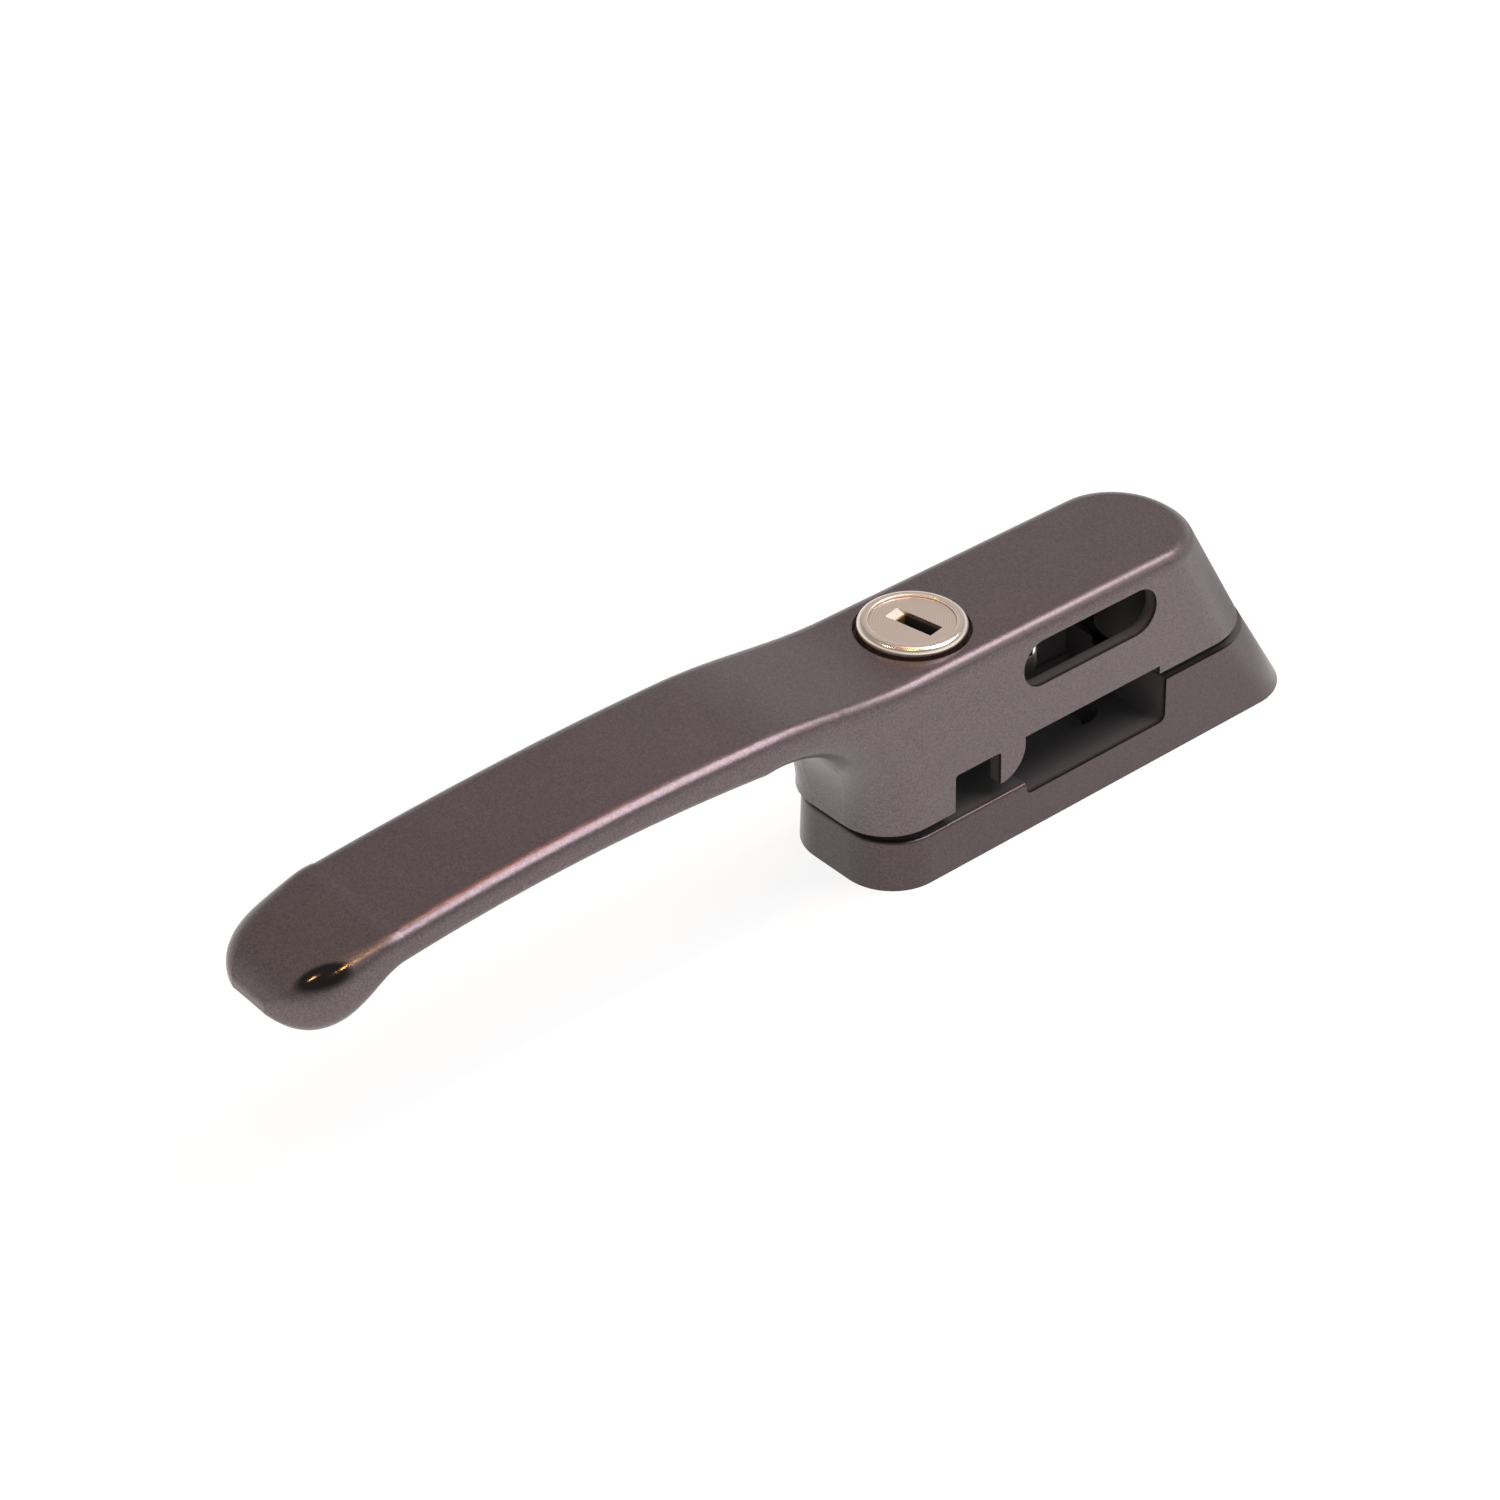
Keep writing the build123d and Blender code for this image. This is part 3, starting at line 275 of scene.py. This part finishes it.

# %% [markdown]
# ## How deep a point lies inside the casting
# The hollow inside base and housing gets painted shade: a dull, dark grey that is no metal and has no
# coat, while the skin and the rims of the openings keep the bronze lacquer. Painting faces by hand would
# need the mesh to be cut. Instead a few maths nodes work out how far a point lies inside the drafted
# outline that base and housing nearly share: a box with rounded corners whose rear end slopes. Depth 0
# is about the skin. The lever lies outside that outline, so it gets no painted shade there.

# %% Outline shared by base and housing
SIDE_DRAFT = math.tan(math.radians(1.3))
REAR_SLOPE = math.tan(math.radians(30.5))
OUTLINE_CORNER = 8.0 * MM
# painted shade inside the casting fades in between these two depths
INSIDE_SHADE_BEGINS = 0.25 * MM
INSIDE_SHADE_FULL = 0.9 * MM
FACE_OVER_HOUSING = 1.0 * MM
base_low, base_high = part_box("base_plate")
housing_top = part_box("plug_face_plate")[1].z - FACE_OVER_HOUSING


def skin_depth(tree, place):
    """How far inside the rounded, drafted outline a point lies, in metres."""
    axis = add(tree, "ShaderNodeSeparateXYZ", {0: place})
    rear = add(tree, "ShaderNodeMath", {0: axis.outputs["Z"], 1: -REAR_SLOPE, 2: base_high.x},
               operation="MULTIPLY_ADD")
    past_rear = add(tree, "ShaderNodeMath", {0: axis.outputs["X"], 1: rear.outputs[0]},
                    operation="SUBTRACT")
    past_front = add(tree, "ShaderNodeMath", {0: base_low.x, 1: axis.outputs["X"]},
                     operation="SUBTRACT")
    past_end = add(tree, "ShaderNodeMath", {0: past_rear.outputs[0], 1: past_front.outputs[0]},
                   operation="MAXIMUM")
    side = add(tree, "ShaderNodeMath", {0: axis.outputs["Z"], 1: -SIDE_DRAFT, 2: base_high.y},
               operation="MULTIPLY_ADD")
    across = add(tree, "ShaderNodeMath", {0: axis.outputs["Y"]}, operation="ABSOLUTE")
    past_side = add(tree, "ShaderNodeMath", {0: across.outputs[0], 1: side.outputs[0]},
                    operation="SUBTRACT")
    past = add(tree, "ShaderNodeCombineXYZ", {0: past_end.outputs[0], 1: past_side.outputs[0]})
    corner = (OUTLINE_CORNER, OUTLINE_CORNER, 0)
    from_arc = add(tree, "ShaderNodeVectorMath", {0: past.outputs[0], 1: corner}, operation="ADD")
    outward = add(tree, "ShaderNodeVectorMath", {0: from_arc.outputs[0], 1: (0, 0, 0)},
                  operation="MAXIMUM")
    reach = add(tree, "ShaderNodeVectorMath", {0: outward.outputs[0]}, operation="LENGTH")
    return add(tree, "ShaderNodeMath", {0: OUTLINE_CORNER, 1: reach.outputs["Value"]},
               operation="SUBTRACT").outputs[0]


def painted_shade_inside(tree, place, end_height, side_up):
    """1 where shade is painted: deep inside the outline and away from the casting's closed end."""
    height = add(tree, "ShaderNodeSeparateXYZ", {0: place}).outputs["Z"]
    terms = {0: end_height, 1: height} if side_up else {0: height, 1: end_height}
    from_end = add(tree, "ShaderNodeMath", terms, operation="SUBTRACT")
    depth = add(tree, "ShaderNodeMath", {0: skin_depth(tree, place), 1: from_end.outputs[0]},
                operation="MINIMUM")
    return add(tree, "ShaderNodeMapRange", {"Value": depth.outputs[0], "From Min": INSIDE_SHADE_BEGINS,
                                            "From Max": INSIDE_SHADE_FULL}).outputs[0]


print("housing top, mm:", round(housing_top / MM, 2))
print("outline half width, mm:", round(base_high.y / MM, 2))

# %% [markdown]
# ## Bronze lacquer on zinc
# Base and lever are zinc die castings with a stoved pearl lacquer: fine bronze-violet flakes in a dark
# film under a clear coat. To the eye it is a satin metal with a faint sparkle, slight orange peel and
# a sharper, weaker reflection on top. A metallic shader carries the flakes, whose sparkle is a Voronoi
# texture. One noise is the drift in the film's gloss, another the orange peel, and the coat is the clear
# film. Flakes of real size would be too fine to see from here, so they are drawn at 0.16 mm. The base
# gets a darker copy of the lever's lacquer, which is painted shade. By the lever's tip is a small glossy
# oval whose colour is darkened as a painted dark reflection: a sphere of distance from one point,
# squeezed and turned by a Mapping node, makes it without a drawn mask.

# %% Bronze lacquer
FLAKE_MM = 0.16
PEEL_MM = 0.9
FILM_DRIFT_MM = 9.0
LEVER_LACQUER = ("#5c5253", "#776c6f")
# the lever's lacquer made darker for the base: painted shade
SHADED_BASE_LACQUER = ("#4a4041", "#605354")
# painted shade: the dull dark grey put on the hollow inside the casting
PAINTED_INSIDE_SHADE = "#474545"
# painted dark reflection in the colour of the glossy oval by the lever's tip
PAINTED_DARK_REFLECTION = "#2b2526"
DARK_SPOT_PLACE = Vector((5.4, -6.9, 28.9)) * MM
DARK_SPOT_SIZE = Vector((3.3, 1.35, 3.0)) * MM
DARK_SPOT_TURN = math.radians(-26)
DARK_SPOT_EDGE = (1.2, 0.7)
SATIN_ROUGHNESS = (0.31, 0.38)
INSIDE_SHADE_ROUGHNESS = 0.8
GLOSSY_SPOT_ROUGHNESS = 0.13
FLAKE_METAL = 0.88
CLEAR_COAT = 0.2
CLEAR_COAT_ROUGHNESS = 0.1
PEEL_STRENGTH = 0.1
PEEL_DEPTH = 0.04 * MM


def glossy_spot_with_painted_reflection(tree, place):
    """1 on the small glossy oval by the lever's tip where a dark reflection is painted, falling softly
    to 0.
    """
    spot = Vector((cad_low.x + DARK_SPOT_PLACE.x, DARK_SPOT_PLACE.y, DARK_SPOT_PLACE.z))
    oval = add(tree, "ShaderNodeMapping", {"Vector": place, "Location": spot, "Scale": DARK_SPOT_SIZE,
                                           "Rotation": (0, 0, DARK_SPOT_TURN)}, vector_type="TEXTURE")
    away = add(tree, "ShaderNodeVectorMath", {0: oval.outputs[0]}, operation="LENGTH")
    return add(tree, "ShaderNodeMapRange", {"Value": away.outputs["Value"], "From Min": DARK_SPOT_EDGE[0],
                                            "From Max": DARK_SPOT_EDGE[1]},
               interpolation_type="SMOOTHSTEP").outputs[0]


def bronze_with_painted_shade(name, lacquer, end_height, side_up):
    """Stoved pearl lacquer, closed end at end_height; painted shade inside, painted dark reflection at
    the tip.
    """
    material, tree = new_material(name)
    place = add(tree, "ShaderNodeTexCoord").outputs["Object"]
    flakes = add(tree, "ShaderNodeTexVoronoi", {"Vector": place, "Scale": per_mm(FLAKE_MM)})
    pearl = add(tree, "ShaderNodeMix", {"Factor": flakes.outputs["Color"], "A": linear(lacquer[0]),
                                        "B": linear(lacquer[1])}, data_type="RGBA")
    # painted shade inside the casting: dark grey, dull, no metal and no coat
    inside_shade = painted_shade_inside(tree, place, end_height, side_up)
    painted = add(tree, "ShaderNodeMix", {"Factor": inside_shade, "A": pearl.outputs["Result"],
                                          "B": linear(PAINTED_INSIDE_SHADE)}, data_type="RGBA")
    # glossy oval by the tip: lower roughness, and a painted dark reflection in its colour
    glossy_dark_spot = glossy_spot_with_painted_reflection(tree, place)
    colour = add(tree, "ShaderNodeMix", {"Factor": glossy_dark_spot, "A": painted.outputs["Result"],
                                         "B": linear(PAINTED_DARK_REFLECTION)}, data_type="RGBA")
    film = add(tree, "ShaderNodeTexNoise", {"Vector": place, "Scale": per_mm(FILM_DRIFT_MM),
                                            "Detail": 1.0})
    satin = add(tree, "ShaderNodeMapRange", {"Value": film.outputs[0], "To Min": SATIN_ROUGHNESS[0],
                                             "To Max": SATIN_ROUGHNESS[1]})
    dull = add(tree, "ShaderNodeMix", {"Factor": inside_shade, "A": satin.outputs[0], "B": INSIDE_SHADE_ROUGHNESS})
    rough = add(tree, "ShaderNodeMix", {"Factor": glossy_dark_spot, "A": dull.outputs[0], "B": GLOSSY_SPOT_ROUGHNESS})
    metal = add(tree, "ShaderNodeMapRange", {"Value": inside_shade, "To Min": FLAKE_METAL, "To Max": 0.0})
    coat = add(tree, "ShaderNodeMapRange", {"Value": inside_shade, "To Min": CLEAR_COAT, "To Max": 0.0})
    peel = add(tree, "ShaderNodeTexNoise", {"Vector": place, "Scale": per_mm(PEEL_MM), "Detail": 2.0})
    bump = add(tree, "ShaderNodeBump", {"Height": peel.outputs[0], "Strength": PEEL_STRENGTH,
                                        "Distance": PEEL_DEPTH})
    surface(tree, colour.outputs["Result"], rough.outputs[0], bump.outputs[0], Metallic=metal.outputs[0],
            Coat_Weight=coat.outputs[0], Coat_Roughness=CLEAR_COAT_ROUGHNESS)
    return material


base_bronze = bronze_with_painted_shade("bronze_lacquer_on_base", SHADED_BASE_LACQUER, base_low.z, side_up=False)
lever_bronze = bronze_with_painted_shade("bronze_lacquer_on_lever", LEVER_LACQUER, housing_top, side_up=True)
print("lacquers:", base_bronze.name, lever_bronze.name)

# %% [markdown]
# ## Satin nickel
# The barrel's shell and the plate on the plug's head are plated in warm champagne nickel over a turned
# blank. Turning leaves fine rings round the axis, which the plating softens, and the rounded rim is
# buffed bright. Rings follow the distance from the axis, so a Mapping node first puts the axis at the
# pattern's centre.

# %% Satin nickel
TURNING_RING_MM = 0.35
KEYWAY_TURN = math.radians(10)
WAVE_FACTOR = 20
RIM_BUFF_STARTS = 0.9 * MM
RIM_BUFF_FULL = 0.5 * MM
NICKEL_TINTS = ("#e2d2c4", "#f0e2d4")
NICKEL_ROUGHNESS = {"face": 0.34, "rim": 0.2}
shell_low, shell_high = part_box("barrel_shell")
barrel_axis = Vector(((shell_low.x + shell_high.x) / 2, (shell_low.y + shell_high.y) / 2, 0))
barrel_radius = (shell_high.x - shell_low.x) / 2


def about_barrel_axis(tree):
    """Object coordinates with the barrel's axis at zero and Y along the keyway."""
    place = add(tree, "ShaderNodeTexCoord").outputs["Object"]
    turned = {"Vector": place, "Location": barrel_axis, "Rotation": (0, 0, KEYWAY_TURN)}
    return add(tree, "ShaderNodeMapping", turned, vector_type="TEXTURE").outputs[0]


def from_axis(tree, place):
    """Distance from the barrel's axis."""
    flat = add(tree, "ShaderNodeVectorMath", {0: place, 1: (1, 1, 0)}, operation="MULTIPLY")
    return add(tree, "ShaderNodeVectorMath", {0: flat.outputs[0]}, operation="LENGTH").outputs["Value"]


def turned_rings(tree, place, ring_mm):
    """Fine rings round the axis, as a lathe tool leaves them."""
    # a wave texture with Scale s draws s * WAVE_FACTOR / (2 pi) bands in a metre
    scale = per_mm(ring_mm) * 2 * math.pi / WAVE_FACTOR
    wave = {"Vector": place, "Scale": scale, "Distortion": 0.4, "Detail": 1.0}
    return add(tree, "ShaderNodeTexWave", wave, wave_type="RINGS", rings_direction="Z").outputs["Fac"]


def satin_nickel():
    """Champagne nickel plate: soft rings on the face, a buffed rim."""
    material, tree = new_material("champagne_nickel_plate")
    place = about_barrel_axis(tree)
    rings = turned_rings(tree, place, TURNING_RING_MM)
    buffed = add(tree, "ShaderNodeMapRange", {"Value": from_axis(tree, place),
                                              "From Min": barrel_radius - RIM_BUFF_STARTS,
                                              "From Max": barrel_radius - RIM_BUFF_FULL})
    rough = add(tree, "ShaderNodeMix", {"Factor": buffed.outputs[0], "A": NICKEL_ROUGHNESS["face"],
                                        "B": NICKEL_ROUGHNESS["rim"]})
    tint = add(tree, "ShaderNodeMix", {"Factor": rings, "A": linear(NICKEL_TINTS[0]),
                                       "B": linear(NICKEL_TINTS[1])}, data_type="RGBA")
    bump = add(tree, "ShaderNodeBump", {"Height": rings, "Strength": 0.12, "Distance": 0.01 * MM})
    surface(tree, tint.outputs["Result"], rough.outputs[0], bump.outputs[0], Metallic=1.0)
    return material


nickel = satin_nickel()
print("barrel radius, mm:", round(barrel_radius / MM, 2))

# %% [markdown]
# ## Turned brass
# Plug and wafers are free-cutting brass. The keyway gets painted shade, dark, dull and not metal,
# except the ramp at its end, which keeps the brass, so it reads as a dark slot with one pale end. Where
# a point lies along the keyway and how far it is from the axis decide whether shade is painted there.

# %% Turned brass
KEYWAY_REACH = 3.8 * MM
RAMP_STARTS = 1.8 * MM
KEYWAY_SHADE_FADE = 0.2 * MM
BRASS_RING_MM = 0.25
BRASS_GRAIN_MM = 0.8
BRASS_TINTS = ("#b08d4c", "#cfae69")
BRASS_ROUGHNESS = 0.3
# painted shade for the inside of the keyway
PAINTED_KEYWAY_SHADE = "#1c1a19"
KEYWAY_SHADE_ROUGHNESS = 0.8
plug_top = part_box("lock_plug")[1].z


def turned_brass():
    """Free-cutting brass, with painted shade along the keyway but not on its ramp."""
    material, tree = new_material("free_cutting_brass")
    place = about_barrel_axis(tree)
    rings = turned_rings(tree, place, BRASS_RING_MM)
    grain = add(tree, "ShaderNodeTexNoise", {"Vector": place, "Scale": per_mm(BRASS_GRAIN_MM),
                                             "Detail": 3.0})
    plain_brass = add(tree, "ShaderNodeMix", {"Factor": grain.outputs[0], "A": linear(BRASS_TINTS[0]),
                                        "B": linear(BRASS_TINTS[1])}, data_type="RGBA")
    along = add(tree, "ShaderNodeSeparateXYZ", {0: place}).outputs["Y"]
    below_ramp = add(tree, "ShaderNodeMapRange", {"Value": along, "From Min": RAMP_STARTS + KEYWAY_SHADE_FADE,
                                                  "From Max": RAMP_STARTS})
    inner = add(tree, "ShaderNodeMapRange", {"Value": from_axis(tree, place),
                                             "From Min": KEYWAY_REACH + KEYWAY_SHADE_FADE,
                                             "From Max": KEYWAY_REACH})
    # painted shade in the keyway: dark, dull, not metal
    keyway_shade = add(tree, "ShaderNodeMath", {0: below_ramp.outputs[0], 1: inner.outputs[0]},
               operation="MINIMUM")
    colour = add(tree, "ShaderNodeMix", {"Factor": keyway_shade.outputs[0], "A": plain_brass.outputs["Result"],
                                         "B": linear(PAINTED_KEYWAY_SHADE)}, data_type="RGBA")
    rough = add(tree, "ShaderNodeMix", {"Factor": keyway_shade.outputs[0], "A": BRASS_ROUGHNESS,
                                        "B": KEYWAY_SHADE_ROUGHNESS})
    metal = add(tree, "ShaderNodeMapRange", {"Value": keyway_shade.outputs[0], "To Min": 1.0, "To Max": 0.0})
    bump = add(tree, "ShaderNodeBump", {"Height": rings, "Strength": 0.15, "Distance": 0.01 * MM})
    surface(tree, colour.outputs["Result"], rough.outputs[0], bump.outputs[0], Metallic=metal.outputs[0])
    return material


brass = turned_brass()
print("plug head at, mm:", round(plug_top / MM, 2))

# %% [markdown]
# ## Zinc-plated steel
# Spindle, keeper, washer, plate, pin and bolt are mild steel with a thin bright zinc plating that is
# passivated. It is a cool grey metal with a fine crystalline grain and faint blue and straw clouds,
# duller than nickel. Two noises make it: a fine one for grain and a broad one for the clouds.

# %% Zinc-plated steel
PASSIVATE_CLOUD_MM = 2.5
ZINC_GRAIN_MM = 0.2
ZINC_TINTS = ("#8f959c", "#a7a294")
ZINC_ROUGHNESS = (0.28, 0.5)


def zinc_plated_steel():
    """Passivated zinc plating on mild steel."""
    material, tree = new_material("zinc_plated_steel")
    place = add(tree, "ShaderNodeTexCoord").outputs["Object"]
    clouds = add(tree, "ShaderNodeTexNoise", {"Vector": place, "Scale": per_mm(PASSIVATE_CLOUD_MM),
                                              "Detail": 2.0})
    tint = add(tree, "ShaderNodeMix", {"Factor": clouds.outputs[0], "A": linear(ZINC_TINTS[0]),
                                       "B": linear(ZINC_TINTS[1])}, data_type="RGBA")
    grain = add(tree, "ShaderNodeTexNoise", {"Vector": place, "Scale": per_mm(ZINC_GRAIN_MM),
                                             "Detail": 3.0})
    rough = add(tree, "ShaderNodeMapRange", {"Value": grain.outputs[0], "To Min": ZINC_ROUGHNESS[0],
                                             "To Max": ZINC_ROUGHNESS[1]})
    bump = add(tree, "ShaderNodeBump", {"Height": grain.outputs[0], "Strength": 0.2,
                                        "Distance": 0.02 * MM})
    surface(tree, tint.outputs["Result"], rough.outputs[0], bump.outputs[0], Metallic=1.0)
    return material


steel = zinc_plated_steel()
print("material:", steel.name)

# %% [markdown]
# ## Phosphated spring steel
# Springs and circlips are drawn or stamped from hard steel and phosphated against rust, which leaves
# tiny dark grey crystals and a dull, slightly oily surface. A Voronoi texture has the same look as
# packed crystals. Real ones are a few hundredths of a millimetre, so these are drawn larger.

# %% Phosphated spring steel
CRYSTAL_MM = 0.14
PHOSPHATE_TINTS = ("#47484a", "#66686b")
PHOSPHATE_ROUGHNESS = (0.34, 0.55)


def phosphated_steel():
    """Dark grey phosphate crystals on hard steel."""
    material, tree = new_material("phosphated_spring_steel")
    place = add(tree, "ShaderNodeTexCoord").outputs["Object"]
    crystals = add(tree, "ShaderNodeTexVoronoi", {"Vector": place, "Scale": per_mm(CRYSTAL_MM)})
    tint = add(tree, "ShaderNodeMix", {"Factor": crystals.outputs["Color"],
                                       "A": linear(PHOSPHATE_TINTS[0]),
                                       "B": linear(PHOSPHATE_TINTS[1])}, data_type="RGBA")
    rough = add(tree, "ShaderNodeMapRange", {"Value": crystals.outputs["Distance"],
                                             "To Min": PHOSPHATE_ROUGHNESS[0],
                                             "To Max": PHOSPHATE_ROUGHNESS[1]})
    bump = add(tree, "ShaderNodeBump", {"Height": crystals.outputs["Distance"], "Strength": 0.25,
                                        "Distance": 0.015 * MM})
    surface(tree, tint.outputs["Result"], rough.outputs[0], bump.outputs[0], Metallic=0.9)
    return material


spring_steel = phosphated_steel()
print("material:", spring_steel.name)

# %% [markdown]
# ## Black acetal
# The pivot's bush and the plate that the housing turns on are moulded in black acetal, a slippery
# plastic with a waxy sheen. The mould is spark-eroded, which gives a fine even texture instead of a
# mirror surface, so the highlight is broad and soft.

# %% Black acetal
SPARK_MM = 0.25
ACETAL_TINTS = ("#131314", "#1f1f20")
ACETAL_ROUGHNESS = (0.36, 0.52)
ACETAL_IOR = 1.48


def black_acetal():
    """Moulded acetal with a spark-eroded texture."""
    material, tree = new_material("moulded_black_acetal")
    place = add(tree, "ShaderNodeTexCoord").outputs["Object"]
    texture = add(tree, "ShaderNodeTexNoise", {"Vector": place, "Scale": per_mm(SPARK_MM),
                                               "Detail": 4.0})
    tint = add(tree, "ShaderNodeMix", {"Factor": texture.outputs[0], "A": linear(ACETAL_TINTS[0]),
                                       "B": linear(ACETAL_TINTS[1])}, data_type="RGBA")
    rough = add(tree, "ShaderNodeMapRange", {"Value": texture.outputs[0], "To Min": ACETAL_ROUGHNESS[0],
                                             "To Max": ACETAL_ROUGHNESS[1]})
    bump = add(tree, "ShaderNodeBump", {"Height": texture.outputs[0], "Strength": 0.25,
                                        "Distance": 0.02 * MM})
    surface(tree, tint.outputs["Result"], rough.outputs[0], bump.outputs[0], IOR=ACETAL_IOR)
    return material


acetal = black_acetal()
print("material:", acetal.name)

# %% [markdown]
# ## Dress every node
# A frame node keeps its mesh and only gets a finish in its material slot. The table is written by
# finish, as a plating shop would sort the parts into baskets, and the last line checks that no part
# was left out.

# %% Finishes of all the nodes
FINISHES = {
    base_bronze: ["base_plate"],
    lever_bronze: ["handle_casting"],
    nickel: ["barrel_shell", "plug_face_plate"],
    brass: ["lock_plug", "wafer_tumblers"],
    steel: ["keeper_lug", "pivot_spindle", "thrust_washer", "guide_pin", "spring_plate", "locking_bolt"],
    spring_steel: ["disc_spring", "retaining_circlip", "plate_circlip", "barrel_spring", "plug_clip",
                   "wafer_springs"],
    acetal: ["pivot_bush", "bearing_plate"],
}

for material, names in FINISHES.items():
    for name in names:
        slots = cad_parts[name].data.materials
        slots.clear()
        slots.append(material)
dressed = {name for names in FINISHES.values() for name in names}
print("nodes dressed:", len(dressed), "left out:", sorted(set(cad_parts) - dressed))

# %% [markdown]
# ## Size note
# The dressed lock must be the size of the solids it came from. The box from the start is printed near
# the top of the script; no box is taken at the end.

# %% Size note
print("end of scene script")
